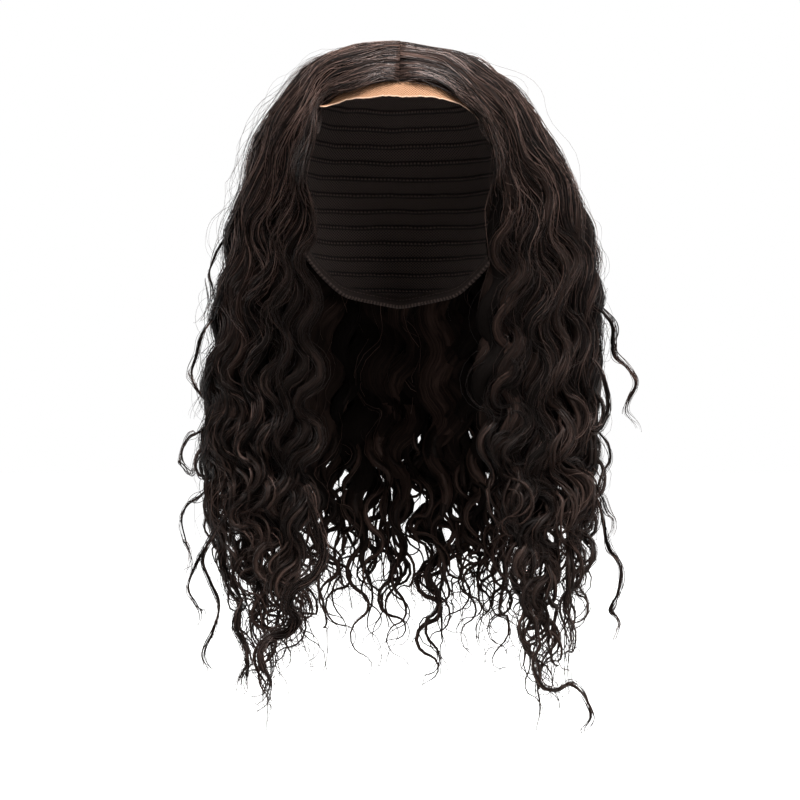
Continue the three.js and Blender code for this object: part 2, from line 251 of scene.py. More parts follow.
corner_angle = math.degrees(math.atan2(OPENING_HALF_WIDTH, -OPENING_BACK))
cap_degrees = np.concatenate([
    np.linspace(CAP_FRONT_ANGLE, corner_angle, CAP_SIDE_COLUMNS)[:-1],
    np.linspace(corner_angle, 360 - corner_angle, CAP_BACK_COLUMNS)[:-1],
    np.linspace(360 - corner_angle, 360 - CAP_FRONT_ANGLE, CAP_SIDE_COLUMNS),
])
cap_angle = np.radians(cap_degrees)
rim_degrees = np.arange(-RIM_MARGIN, 361 + RIM_MARGIN)
rim_sharp = np.interp(np.abs((rim_degrees + 180) % 360 - 180), RIM_ANGLES, RIM_HEIGHTS)
rim_window = np.hanning(RIM_SOFTENING) / np.hanning(RIM_SOFTENING).sum()
rim_height = np.interp(cap_degrees, rim_degrees, np.convolve(rim_sharp, rim_window, "same"))
rim_share = rim_height / CROWN_HEIGHT + 1
rim_tilt = np.arcsin(np.sign(rim_share) * np.abs(rim_share) ** (HEAD_SQUARENESS / 2))
opening_reach = np.minimum(
    OPENING_HALF_WIDTH / np.abs(np.sin(cap_angle)),
    np.where(np.cos(cap_angle) < 0, OPENING_BACK / np.maximum(-np.cos(cap_angle), 1e-6), np.inf),
)
full_reach = np.linalg.norm(head_point(cap_angle, 0 * cap_angle, 0)[:, :2], axis=1)
opening_tilt = np.arccos(np.minimum(opening_reach / full_reach, 1) ** (HEAD_SQUARENESS / 2))
cap_tilt = opening_tilt + (rim_tilt - opening_tilt) * np.linspace(0, 1, CAP_ROWS)[:, None]
cap_drop = run_along(head_point(cap_angle, cap_tilt, 0.0), 0)
from_rim = cap_drop[-1] - cap_drop
from_front = full_reach * np.radians(180 - CAP_FRONT_ANGLE - np.abs(cap_degrees - 180))
cap_edge = np.minimum(np.minimum(from_rim, cap_drop + BAND_LESS), from_front)
cap_band = smoothstep(-cap_edge, -BAND_WIDTH, -BAND_WIDTH + BAND_FOLD)
cap_outer = head_point(cap_angle, cap_tilt, CAP_WALL + BAND_OUTSIDE * cap_band)
cap_inner = head_point(cap_angle, cap_tilt, -BAND_INSIDE * cap_band)
cap_points, cap_quads = closed_wall(cap_outer, cap_inner)
cap, cap_corners = new_piece("cap", cap_points, facing_out(cap_points, cap_quads))
mean_radius = (HEAD_HALF_WIDTH + HEAD_HALF_DEPTH) / 2
cap_map = np.stack([cap_angle * mean_radius + 0 * cap_drop, cap_drop], -1).reshape(-1, 2)
give_uv(cap, "cloth", np.concatenate([cap_map, cap_map])[cap_corners])
give_values(cap, "edge", np.concatenate([cap_edge.ravel()] * 2))

net = net_group()
cap_cloth, tree, surface = new_material(
    "dark stretch net", Roughness=0.82, Sheen_Weight=0.02, Specular_IOR_Level=0.12
)
cap_threads, cap_uv = add_net(tree, CAP_NET_PITCH)
edge = add_attribute(tree, "edge").outputs["Fac"]
cap_place = tree.nodes.new("ShaderNodeTexCoord").outputs["Object"]
cap_height = add_node(tree, "ShaderNodeSeparateXYZ", Vector=cap_place)
waver = add_node(tree, "ShaderNodeTexNoise", Vector=cap_place, Scale=WAVER_SCALE, Detail=2.0)
row_waver = add_math(tree, "MULTIPLY", waver.outputs["Fac"], WEFT_ROW_WAVER)
cap_level = add_math(tree, "ADD", cap_height.outputs["Z"], row_waver)
from_row = add_math(tree, "PINGPONG", cap_level, WEFT_ROW_STEP / 2)
weft_row = add_range(tree, from_row, WEFT_ROW_EDGE, WEFT_ROW_FLAT)
row_crest = add_range(tree, from_row, WEFT_ROW_FLAT, 0.0)
row_line = add_range(tree, from_row, ROW_STITCH_EDGE, ROW_STITCH_FLAT)
band = add_range(tree, edge, BAND_WIDTH, BAND_WIDTH - BAND_LINE)
from_seam = add_math(tree, "PINGPONG", edge, BAND_SEAM_STEP / 2)
seam_line = add_range(tree, from_seam, SEAM_EDGE, SEAM_FLAT)
stitches = add_node(tree, "ShaderNodeTexWave", Vector=cap_uv, Scale=STITCH_SCALE)
stitches.inputs["Distortion"].default_value = 0.8
stitches.inputs["Detail"].default_value = 1.0
row_thread = add_math(tree, "MULTIPLY", row_line, stitches.outputs["Fac"])
band_thread = add_math(tree, "MULTIPLY", seam_line, stitches.outputs["Fac"])
net_colour = add_blend(tree, cap_threads, CAP_HOLE, CAP_THREAD)
row_colour = add_blend(tree, row_thread, WEFT_HAIR, WEFT_THREAD)
band_colour = add_blend(tree, band_thread, CAP_BAND, WEFT_THREAD)
open_colour = add_blend(tree, weft_row, net_colour, row_colour)
tree.links.new(add_blend(tree, band, open_colour, band_colour), surface.inputs["Base Color"])
row_relief = add_math(tree, "ADD", add_math(tree, "MULTIPLY", row_crest, ROW_RAISE), row_thread)
net_relief = add_math(tree, "MULTIPLY", cap_threads, NET_RAISE)
open_relief = add_math(tree, "MAXIMUM", net_relief, row_relief)
band_relief = add_math(tree, "SUBTRACT", BAND_RAISE, band_thread)
relief = add_node(tree, "ShaderNodeMix", _0=band, _2=open_relief, _3=band_relief)
add_relief(tree, surface, relief.outputs[0], strength=0.9, distance=0.0007)
cap.data.materials.append(cap_cloth)
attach(cap, "root")
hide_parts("cap")

# The lace closure is a four inch square of fine skin-coloured net, sewn into the opening of the
# cap. Single hairs are knotted into it, and its cut front edge shows under the hair as a pale
# line, a painted highlight, that ends in a small tip at its left corner.
LACE_HALF_WIDTH, LACE_BACK = 0.051, 0.008
LACE_INSIDE, LACE_OUTSIDE = 0.0004, 0.0010
LACE_FRONT_HEIGHT, LACE_LEFT_DROP, LACE_RIGHT_DROP = -0.035, 0.005, 0.014
LACE_COLUMNS, LACE_ROWS, LACE_CROWDING = 57, 45, 1.3
LACE_UNEVEN = 0.016  # share of its length by which the cut edge wanders
LACE_CURL_UP, LACE_TIP_RISE, LACE_TIP_PULL, LACE_TIP_WAVE = 0.0007, 0.004, 0.001, 0.0005
LACE_TIP_FROM = 0.043  # how far to the left of the middle the tip begins
LACE_TIP_RIPPLE = 4000  # radians to a metre
# how far back from the cut edge the tip, the curl and the unevenness reach, as shares of the lace
TIP_REACH, CURL_REACH, UNEVEN_REACH = 0.02, 0.018, 0.05
NIBBLE_SPAN = 7  # columns over which the unevenness is smoothed
LACE_NET_PITCH, LACE_OPEN = 0.0018, 0.62  # and how solid the holes of the net are
CUT_EDGE_SOFT, CUT_EDGE_FULL = 0.0015, 0.0006
KNOT_SCALE, KNOT_EDGE, KNOT_FLAT = 620.0, 0.30, 0.12
KNOTS_FROM, KNOTS_FULL = 0.010, 0.018  # from the cut edge
LACE_THREAD, LACE_HOLE = (0.175, 0.092, 0.050), (0.130, 0.062, 0.032)
# the pale colour of the cut edge is a painted highlight
LACE_EDGE_HIGHLIGHT, LACE_KNOT = (0.38, 0.255, 0.185), (0.03, 0.02, 0.018)


def lace_point(x, back, out):
    """A point of the lace: back goes from 0 at its front edge, which drops to the corners, to 1 at its
    rear edge, straight back in plan, and the height follows the cap's form let out by a distance."""
    half = [HEAD_HALF_WIDTH + out, HEAD_HALF_DEPTH + out, CROWN_HEIGHT + out]
    aside = np.abs(x / LACE_HALF_WIDTH)
    drop = np.where(x < 0, LACE_LEFT_DROP * aside**2, LACE_RIGHT_DROP * aside**4)
    level = (LACE_FRONT_HEIGHT - drop + CROWN_HEIGHT) / half[2]
    left = 1 - np.abs(x / half[0]) ** HEAD_SQUARENESS
    front_y = -half[1] * (left - level**HEAD_SQUARENESS) ** (1 / HEAD_SQUARENESS)
    y = front_y + (LACE_BACK - front_y) * back
    rise = (left - np.abs(y / half[1]) ** HEAD_SQUARENESS) ** (1 / HEAD_SQUARENESS)
    return np.stack([x + 0 * y, y, half[2] * rise - CROWN_HEIGHT], -1)


lace_x = np.linspace(-LACE_HALF_WIDTH, LACE_HALF_WIDTH, LACE_COLUMNS)
lace_share = (np.linspace(0, 1, LACE_ROWS) ** LACE_CROWDING)[:, None]
lace_random = np.random.default_rng(5)
# the cut edge is uneven by less than a millimetre, curls up a little and is pulled to a tip
nibble = lace_random.uniform(-1, 1, LACE_COLUMNS + NIBBLE_SPAN - 1)
nibble = np.convolve(nibble, np.ones(NIBBLE_SPAN) / NIBBLE_SPAN, "valid")
near_edge = lambda reach: np.exp(-((lace_share / reach) ** 2))
lace_tip = near_edge(TIP_REACH) * smoothstep(-lace_x, LACE_TIP_FROM, LACE_HALF_WIDTH)
lace_lift = LACE_CURL_UP * near_edge(CURL_REACH) + LACE_TIP_RISE * lace_tip
lace_back_share = lace_share + LACE_UNEVEN * nibble * near_edge(UNEVEN_REACH)
tip_wave = LACE_TIP_WAVE * np.sin(LACE_TIP_RIPPLE * lace_x)
lace_pull = np.stack([-LACE_TIP_PULL * lace_tip, -LACE_TIP_PULL * lace_tip, tip_wave * lace_tip], -1)
lace_outer = lace_point(lace_x, lace_back_share, LACE_OUTSIDE + lace_lift) + lace_pull
lace_inner = lace_point(lace_x, lace_back_share, LACE_INSIDE + lace_lift) + lace_pull
lace_points, lace_quads = closed_wall(lace_outer, lace_inner)
lace_quads = facing_out(lace_points, lace_quads)
lace_closure, lace_corners = new_piece("lace_closure", lace_points, lace_quads)
lace_run = run_along(lace_outer, 0)
lace_map = np.stack([lace_x + 0 * lace_run, lace_run], -1).reshape(-1, 2)
give_uv(lace_closure, "cloth", np.concatenate([lace_map, lace_map])[lace_corners])

lace_cloth, tree, surface = new_material("skin-coloured lace", Roughness=0.75, Specular_IOR_Level=0.1)
lace_threads, lace_uv = add_net(tree, LACE_NET_PITCH)
lace_place = add_node(tree, "ShaderNodeSeparateXYZ", Vector=lace_uv).outputs["Y"]
highlit_cut_edge = add_range(tree, lace_place, CUT_EDGE_SOFT, CUT_EDGE_FULL)
net_colour = add_blend(tree, lace_threads, LACE_HOLE, LACE_THREAD)
knots = add_node(tree, "ShaderNodeTexVoronoi", Vector=lace_uv, Scale=KNOT_SCALE)
knot_dot = add_range(tree, knots.outputs["Distance"], KNOT_EDGE, KNOT_FLAT)
knot_zone = add_range(tree, lace_place, KNOTS_FROM, KNOTS_FULL)
knot_share = add_math(tree, "MULTIPLY", knot_dot, knot_zone)
knotted = add_blend(tree, knot_share, net_colour, LACE_KNOT)
# painted highlight: the cut edge is paler than the net, and it is also solid where the net has holes
tree.links.new(add_blend(tree, highlit_cut_edge, knotted, LACE_EDGE_HIGHLIGHT), surface.inputs["Base Color"])
whole = add_math(tree, "MAXIMUM", highlit_cut_edge, lace_threads)
tree.links.new(add_range(tree, whole, 0.0, 1.0, LACE_OPEN, 1.0), surface.inputs["Alpha"])
add_relief(tree, surface, lace_threads, strength=0.5, distance=0.0003)
lace_closure.data.materials.append(lace_cloth)
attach(lace_closure, "root")
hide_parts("lace_closure")

# The hair of the back is sewn to the cap in rows of weft and falls from the crown. It is long,
# nearly black and wavy; it lies smooth on the cap, waves more on its way down and ends in curls.
HAIR_COLUMNS = (
    "left_edge_x", "left_edge_y", "left_edge_z", "right_edge_x", "right_edge_y", "right_edge_z",
    "left_side_x", "right_side_x", "side_y", "left_side_z", "right_side_z", "back_y", "back_z",
)
# the outside of the hair in millimetres, a row for each level from the parting down to the tips
HAIR_ROWS = 0.001 * np.array([
    [0.8, -75, -21, 0.8, -75, -21, 0.7, 0.7, -30, 9.2, 9.0, 12, 11.0],
    [28, -75, -27.5, 31, -76, -27, 31, 30, -22, 7.0, 3.5, 45, 4.5],
    [47, -69, -36, 50, -75, -46, 61, 60, -14, -4.0, -5.5, 78, -12],
    [53.5, -67, -66, 54, -67, -68, 88, 89, -6, -33, -32, 102, -46],
    [61, -52, -104, 61, -52, -104, 108, 116, 0, -80, -78, 114, -92],
    [62, -47, -150, 62, -47, -150, 121, 134, 8, -131, -130, 119, -140],
    [59, -45, -205, 59, -45, -205, 131, 138, 14, -188, -188, 121, -195],
    [60, -47, -262, 60, -47, -262, 135, 135, 17, -252, -252, 119, -256],
    [66, -52, -322, 66, -52, -322, 130, 131, 16, -315, -315, 114, -320],
    [76, -52, -385, 76, -52, -385, 106, 120, 11, -390, -390, 107, -390],
    [84, -47, -446, 84, -47, -446, 96, 114, 6, -452, -452, 100, -448],
])
# how thick the hair is at some rows, at the front edges and round the rest
DEPTH_ROWS = [0, 2, 4, 6, 8, 10]
DEPTH_FRONT = [0.004, 0.007, 0.011, 0.015, 0.017, 0.011]
DEPTH_ROUND = [0.005, 0.011, 0.019, 0.025, 0.025, 0.013]
FALL_ROW = 4  # row from which the hair hangs clear of the cap
SWEEP, SWEEP_ROWS = 0.19, (0, 3.2)  # how much farther back a lock lies by the parting
WANDER_ROWS = (1.5, 8.5)  # rows over which the locks stray from their places
BUNCH_ROWS, BUNCH_SHARE = (6.3, 9), 0.7  # and draw together, and by how much of the way
FULL_FROM = 0.3  # share of the way round where the hair has its full thickness
LOCK_MARGIN = 0.15  # of a bunch's width, kept free at the edges of a node
PLACE_STEP, ROW_STEP = 0.01, 0.02  # small steps on the hair's surface
ANY_TURN = (0, 6.3)  # the phase of a wave drawn by chance, in radians
LAYERS = 3  # of locks, one of each to a bunch
LOCK_SPLIT, CURL_SPLIT = (4, 2, 2), 3  # thin locks that a lock of each layer, or a curl, parts into
CURL_STRANDS = 12  # to a millimetre of a curl's half width
LAID_STEPS, HANGING_STEPS = 60, 180  # of a guide, which runs from 0 to 1 on the cap and on to 2
LAID_RUN, HANGING_RUN = np.linspace(0, 1, LAID_STEPS + 1)[:-1], np.linspace(0, 1, HANGING_STEPS + 1)
GUIDE_RINGS = np.concatenate([LAID_RUN, 1 + HANGING_RUN])
GUIDE_SHARES = np.linspace(0, 1, len(GUIDE_RINGS))
LOCK_LAID_RINGS, LOCK_HANGING_RINGS, LOCK_SIDES = 8, 42, 6
LOCK_LAID = np.linspace(0, LAID_STEPS, LOCK_LAID_RINGS + 1)[:-1]
LOCK_HANGING = LAID_STEPS + HANGING_STEPS * np.linspace(0, 1, LOCK_HANGING_RINGS) ** 0.9
LOCK_SHARES = np.concatenate([LOCK_LAID, LOCK_HANGING]) / (LAID_STEPS + HANGING_STEPS)
STRAND_RINGS, RINGLET_RINGS, HAIRLINE_RINGS = 35, 56, 12
STRAND_TURNS = np.radians([90, 210, 330])  # the three corners of a strand
WAVE_LENGTH, WAVE_SWAYS = 0.058, (0.0062, 0.0098)
ROUND_BENDS = 7.5 * math.pi  # how far a bend slides along its lock, by its sway squared, per metre
TIP_CURL, TIP_TURN = 0.0052, 0.040
RINGLET_TURNS, RINGLET_REACHES = (0.042, 0.062), (0.0028, 0.0062)
RINGLET_WIDTHS, RINGLET_FROM = (0.0011, 0.0023), 0.56
STRAND_RADII, STRAY_RADII, HAIRLINE_RADII = (0.00014, 0.00031), (0.00009, 0.00016), (0.00009, 0.00014)
ROOT_HEIGHT, CLEARANCE, LAYER_STEP = 0.0008, 0.0022, 0.0010  # above the inside of the cap
TAKEN_IN = 0.016  # how much farther in the hair may lie below the front edges of the cap
MAP_BANDS = 8  # rows of strips that a part of the hair's map is cut into
HAIR_DARK, HAIR_BROWN = (0.0010, 0.0007, 0.0006), (0.096, 0.056, 0.044)
HAIR_GLINT = (1.0, 0.81, 0.74, 1)


def eased_between(values, at):
    """Reads rows of values at places between them, on the cubic whose slope at each row is half the
    step between the rows beside it."""
    last = len(values) - 1
    low = np.clip(np.floor(at).astype(int), 0, last - 1)
    share = (at - low).reshape(at.shape + (1,) * (values.ndim - 1))
    before, here, there, beyond = (values[np.clip(low + i, 0, last)] for i in (-1, 0, 1, 2))
    leave, arrive, rise = (there - before) / 2, (beyond - here) / 2, there - here
    bend, turn = 3 * rise - 2 * leave - arrive, leave + arrive - 2 * rise
    return here + share * leave + share**2 * bend + share**3 * turn


def along_rows(name, row):
    """Reads a column of the hair's table, eased between its rows."""
    return eased_between(HAIR_ROWS[:, HAIR_COLUMNS.index(name)], row)


def hair_surface(place, row):
    """The outside of the hair: place is 0 at the front edge on the left, 1 at the middle of the back
    and 2 at the front edge on the right. A level is two quarter ellipses, from the front edge to the
    side and on to the back."""
    right = place > 1
    turn = np.where(right, 2 - place, place) * math.pi
    across, along = np.sin(turn), -np.cos(turn)
    behind = turn > math.pi / 2
    read = lambda name: along_rows(name, row)
    of_hand = lambda name: np.where(right, read("right_" + name), read("left_" + name))
    edge_x, edge_y, edge_z = of_hand("edge_x"), of_hand("edge_y"), of_hand("edge_z")
    side_x, side_y, side_z = of_hand("side_x"), read("side_y"), of_hand("side_z")
    x = np.where(behind, side_x * across, edge_x + (side_x - edge_x) * across)
    y = side_y + along * np.where(behind, read("back_y") - side_y, side_y - edge_y)
    z = side_z + along**2 * (np.where(behind, read("back_z"), edge_z) - side_z)
    return np.stack([np.where(right, x, -x), y, z], -1)


def unit(vectors):
    """Each vector over its own length."""
    return vectors / np.maximum(np.linalg.norm(vectors, axis=-1, keepdims=True), 1e-9)


def across_hair(place, row):
    """The step on the hair's surface from a little before a place to a little after it."""
    return hair_surface(place + PLACE_STEP, row) - hair_surface(place - PLACE_STEP, row)


def hair_frame(place, row):
    """The outside of the hair with its directions across the locks and outward, from small steps."""
    across = unit(across_hair(place, row))
    down = unit(hair_surface(place, row + ROW_STEP) - hair_surface(place, row - ROW_STEP))
    return hair_surface(place, row), across, unit(np.cross(across, down))


def off_the_head(points, out, sink=False):
    """Moves a point that lies inside the cap's form let out by a distance straight out to its surface,
    and with sink one that lies outside straight in to it."""
    middle = np.array([0, 0, -CROWN_HEIGHT])
    half = np.stack([HEAD_HALF_WIDTH + out, HEAD_HALF_DEPTH + out, CROWN_HEIGHT + out], -1)
    measure = (np.abs((points - middle) / half) ** HEAD_SQUARENESS).sum(-1, keepdims=True)
    scale = measure ** (-1 / HEAD_SQUARENESS)
    return middle + (points - middle) * (scale if sink else np.maximum(scale, 1))


def hair_thickness(place, row):
    """How deep the hair is: eased from its depth at the front edges to its depth round the rest of
    the cap, each read in straight steps between the rows that give it."""
    filled = smoothstep(np.minimum(place, 2 - place), 0, FULL_FROM)
    front, full = np.interp(row, DEPTH_ROWS, DEPTH_FRONT), np.interp(row, DEPTH_ROWS, DEPTH_ROUND)
    return front + (full - front) * filled


def guide_along(lines, outward):
    """A guide's line with its directions: the flank is across both the line and outward, and the
    crest is across the flank and the line."""
    along = unit(np.gradient(lines, axis=1))
    flank = unit(np.cross(along, outward))
    return {"line": lines, "flank": flank, "crest": np.cross(flank, along)}


def lay_guides(random, span, across, starts, ends, sunk):
    """The middle lines of the locks, in three layers side by side from one edge of the span to the
    other. Near the parting a lock lies farther back, by the sine of its place. On its way down it
    sways across and heaves outward on a wave that grows, and tightens to the tip, as a flattened
    spiral does, and slides a little along itself so that its bends are round. The three locks of a
    bunch draw together at their tips. Gives fine lines, their directions across and outward, the
    lock's half width and half thickness along them, the rows of the hair's table and how far the
    root sinks."""
    count = LAYERS * across
    layer = np.tile(np.arange(LAYERS), across)[:, None]
    # own draws a value for each lock, and shared one for each bunch
    own = lambda low, high: random.uniform(low, high, count)[:, None]
    shared = lambda low, high: np.repeat(random.uniform(low, high, across), LAYERS)[:, None]
    # where the locks lie: spread over the span, wandering on their way down and drawn to bunches
    pitch = (span[1] - span[0]) / across
    middle = span[0] + pitch * ((np.arange(count)[:, None] + 0.5) / LAYERS + own(-0.25, 0.25))
    middle = np.clip(middle, span[0] + LOCK_MARGIN * pitch, span[1] - LOCK_MARGIN * pitch)
    end = ends[0] + (ends[1] - ends[0]) * own(0, 1) ** 1.6
    start = own(*starts)
    laid = start + (FALL_ROW - start) * GUIDE_RINGS
    row = np.where(GUIDE_RINGS < 1, laid, FALL_ROW + (end - FALL_ROW) * (GUIDE_RINGS - 1))
    wander = own(-0.5, 0.5) + 0.35 * np.sin(0.9 * row + own(*ANY_TURN))
    place = middle + pitch * smoothstep(row, *WANDER_ROWS) * wander
    bunch_number = np.repeat(np.arange(across), LAYERS)[:, None]
    bunch = span[0] + pitch * (bunch_number + 0.5 + shared(-0.3, 0.3))
    place = place + BUNCH_SHARE * smoothstep(row, *BUNCH_ROWS) * (bunch - place)
    near_parting = SWEEP * (1 - smoothstep(row, *SWEEP_ROWS))
    spaced = 1 + near_parting * math.pi * np.cos(math.pi * place)
    place = place + near_parting * np.sin(math.pi * place)
    base, sideways, outward = hair_frame(place, row)
    from_front = np.minimum(place, 2 - place)
    # the waves: nearly in step from bunch to bunch, and a little later in the deeper layers
    stretch = 1 + 0.07 * np.sin(10 * bunch + random.uniform(*ANY_TURN)) + own(-0.015, 0.015)
    tighter = 1 + 0.25 * smoothstep(row, 3.5, 7) + 0.25 * smoothstep(row, 7, 9.5)
    turns = np.gradient(run_along(base, 1), axis=1) * tighter / (WAVE_LENGTH * stretch)
    beside = np.repeat(np.cumsum(random.uniform(-1.6, 1.6, across)), LAYERS)[:, None]
    later = layer * (0.9 - 0.5 * smoothstep(row, 6, 9))
    phase = 2 * math.pi * np.cumsum(turns, axis=1) + beside + own(-0.5, 0.5) + later
    grown = 0.38 * smoothstep(row, 0.2, 1.4) + 0.17 * smoothstep(row, 2, 3.8)
    grown = grown + 0.45 * smoothstep(row, 3.4, 5.6)
    sway = own(*WAVE_SWAYS) * grown * (0.8 + 0.2 * np.sin(2.1 * row + own(*ANY_TURN)))
    sway = sway * (1 - 0.1 * layer) * (1 - 0.35 * smoothstep(row, 7.2, 9.2))
    # the locks' own sizes, and how deep they lie in the hair
    tip = smoothstep(row, end - own(1.6, 3.2), end)
    size = own(0.7, 1.35)
    thick = 0.0012 + 0.0016 * smoothstep(row, 0.5, 3) + 0.0018 * smoothstep(row, 3, 5.5)
    thick = thick * (1 - 0.92 * tip)
    metric = np.linalg.norm(across_hair(place, row), axis=-1) / (2 * PLACE_STEP)
    wide = spaced * size * 0.5 * pitch * metric * (1.25 - 0.25 * smoothstep(row, 2.5, 6))
    wide = wide * (1 - 0.95 * tip) * (1 + 0.5 * layer * (1 - smoothstep(row, 7, 9)))
    deep = thick + layer * 0.34 * hair_thickness(place, row)
    deep = deep + own(-0.0012, 0.0030) * smoothstep(row, 0.3, 2.5)
    deep = deep + 0.0006 * (1 - smoothstep(row - start, 0, 0.3))
    heave = (0.5 + 0.35 * smoothstep(row, 7.5, 9.5)) * sway * np.cos(phase)
    lines = base + sideways * (sway * np.sin(phase))[..., None]
    lines = lines + outward * (heave - deep)[..., None]
    rounder = ROUND_BENDS * sway**2 * np.sin(2 * phase)
    lines = lines - np.cross(outward, sideways) * rounder[..., None]
    sunk = sunk * (1 - smoothstep(from_front, 0.06, 0.3)) * (1 - smoothstep(row - start, 0, 0.4))
    return {
        **guide_along(lines, outward), "wide": wide, "thick": thick, "row": row, "sunk": sunk,
        "layer": layer + 0 * row, "from_front": from_front,
    }


def lay_curls(curls):
    """Guides of single curls that stand clear of the rest: each is its half width and the points it
    passes, in millimetres, eased between them and waved a little from front to back."""
    lines, wide = [], []
    for half_width, points in curls:
        lines.append(eased_between(0.001 * np.array(points, float), GUIDE_SHARES * (len(points) - 1)))
        begun, ended = smoothstep(GUIDE_SHARES, -0.1, 0.25), smoothstep(GUIDE_SHARES, 0.5, 1)
        wide.append(0.001 * half_width * begun * (1 - 0.9 * ended))
    lines, wide = np.array(lines), np.array(wide)
    wave = np.sin(15 * GUIDE_SHARES + np.arange(len(curls))[:, None])
    depth = 0.006 * smoothstep(GUIDE_SHARES, 0, 0.3) * wave
    lines = lines + depth[..., None] * [0, 1, 0]
    outward = unit(lines * [1, 0, 0] - [0, 0.12, 0])
    row = 6 + 4 * GUIDE_SHARES + 0 * wide
    return {
        **guide_along(lines, outward), "wide": wide, "thick": 0.6 * wide, "row": row, "sunk": 0 * row,
        "layer": 0 * row - 0.5, "from_front": 0 * row + 0.5,
    }


def along_guides(guides, lock, share):
    """Reads the guides of some locks at shares of their length, in straight steps between points."""
    at = np.clip(share, 0, 1) * (len(GUIDE_RINGS) - 1)
    low = np.minimum(at.astype(int), len(GUIDE_RINGS) - 2)
    part = at - low
    read = {}
    for name, values in guides.items():
        step = part[..., None] if values.ndim == 3 else part
        read[name] = values[lock, low] * (1 - step) + values[lock, low + 1] * step
    return read


def around_lock(read, turn, out):
    """A point beside a lock's middle line: out times its half width and half thickness at a turn
    about the line. The root sinks to the lace or cap, and the rest is kept off the cap's form, which
    is taken in below the front edges."""
    beside = read["flank"] * (np.cos(turn) * out * read["wide"])[..., None]
    above = read["crest"] * (np.sin(turn) * out * read["thick"])[..., None]
    points = read["line"] + beside + above
    rooted = off_the_head(points, ROOT_HEIGHT + 0 * read["row"], sink=True)
    points = points + (rooted - points) * read["sunk"][..., None]
    higher = CLEARANCE + LAYER_STEP * (2 - read["layer"]) + 0.0005 * (1 + np.sin(turn))
    below = smoothstep(-points[..., 1], 0.028, 0.044) * smoothstep(-points[..., 2], 0.072, 0.104)
    return off_the_head(points, ROOT_HEIGHT + (1 - read["sunk"]) * higher - TAKEN_IN * below)


def part_locks(random, guides, parts):
    """The thinner locks that each lock parts into: copies of its guide that leave it some way down,
    wander sideways, rise a little and wind about their own line in a wave that widens to the tip and
    is nearly the same for all of a bunch. A curl given as a list of points keeps close to its line."""
    parent = np.repeat(np.arange(len(parts)), parts)
    own = lambda low, high: random.uniform(low, high, len(parent))[:, None]
    shared = lambda low, high: random.uniform(low, high, len(parts))[parent // LAYERS][:, None]
    thin = {name: values[parent] for name, values in guides.items()}
    leave = own(0.36, 0.68)
    apart = smoothstep(GUIDE_SHARES, leave, leave + 0.28)
    turn_length = shared(*RINGLET_TURNS) * own(0.97, 1.03)
    wind = 2 * math.pi * run_along(thin["line"], 1) / turn_length
    wind = wind + shared(*ANY_TURN) + own(-0.8, 0.8)
    freely = np.where(thin["layer"][:, :1] < 0, 0.55, 1)
    reach = freely * own(*RINGLET_REACHES) * apart * (1 + 0.2 * smoothstep(GUIDE_SHARES, 0.72, 1))
    aside = freely * own(-0.008, 0.008) * smoothstep(GUIDE_SHARES, leave, 1) + reach * np.cos(wind)
    rise = own(-0.001, 0.003) * apart + 0.7 * reach * np.sin(wind)
    line = thin["line"] + thin["flank"] * aside[..., None] + thin["crest"] * rise[..., None]
    ended = 1 - 0.9 * smoothstep(GUIDE_SHARES, own(0.72, 0.88), 1)
    wide = np.where(thin["layer"] < 0, 0.6 * thin["wide"], own(*RINGLET_WIDTHS) * ended)
    wide = thin["wide"] + (wide - thin["wide"]) * apart
    thick = thin["thick"] + (0.7 * wide - thin["thick"]) * apart
    laid = guide_along(line, thin["crest"])
    return {**thin, **laid, "wide": wide, "thick": thick, "leave": leave + 0 * GUIDE_SHARES}


def lay_ringlets(thin):
    """The bodies of the thin locks, three points round, from a point inside their lock to the tip."""
    begin = np.maximum(thin["leave"][:, :1], RINGLET_FROM)
    step = np.linspace(0, 1, RINGLET_RINGS) ** 0.85
    share = (begin + (1 - begin) * step)[..., None] + 0 * STRAND_TURNS
    read = along_guides(thin, np.arange(len(begin))[:, None, None], share)
    swell = 0.06 + 0.94 * smoothstep(step, 0, 0.45)[:, None]
    return around_lock(read, STRAND_TURNS + 0 * read["row"], swell + 0 * read["row"])


def strand_tone(own, spread, lock, stray, read):
    """How light a strand is along its length. The tone swings from dark to light round the lock and
    from lock to lock, with a few light strands anywhere. It is lightest on the crown, where light
    from above is painted on, and at the tips, a painted highlight; it is darkest on the inside beside
    the front edges, where shade is painted."""
    row, from_front = read["row"], read["from_front"]
    tone = 0.9 * (0.5 + 0.5 * np.sin(5 * spread + 2.3 * lock)) ** 5 + 0.85 * own(0, 1) ** 5
    # painted light: strands are lighter on the crown than lower down
    tone = np.where(stray, own(0.1, 0.5), tone) * (2.4 - 1.7 * smoothstep(row, 2.6, 6.0))
    # the patches along each lock vary at random, and the lighter tips are a painted highlight
    tone = tone * (1 + 0.35 * np.sin(2.3 * row + 2.9 * lock)) + 0.38 * smoothstep(row, 7, 10)
    # painted shade on the inside beside the front edges, lower down and at the temples
    painted_shade_low = smoothstep(row, 3.6, 5.4) - smoothstep(row, 7.4, 8.6)
    painted_shade_high = smoothstep(row, 0.6, 1.6) - smoothstep(row, 2.8, 4.2)
    tone = tone * (1 - 0.8 * painted_shade_low * (1 - smoothstep(from_front, 0.03, 0.2)))
    return tone * (1 - 0.5 * painted_shade_high * (1 - smoothstep(from_front, 0.04, 0.2)))


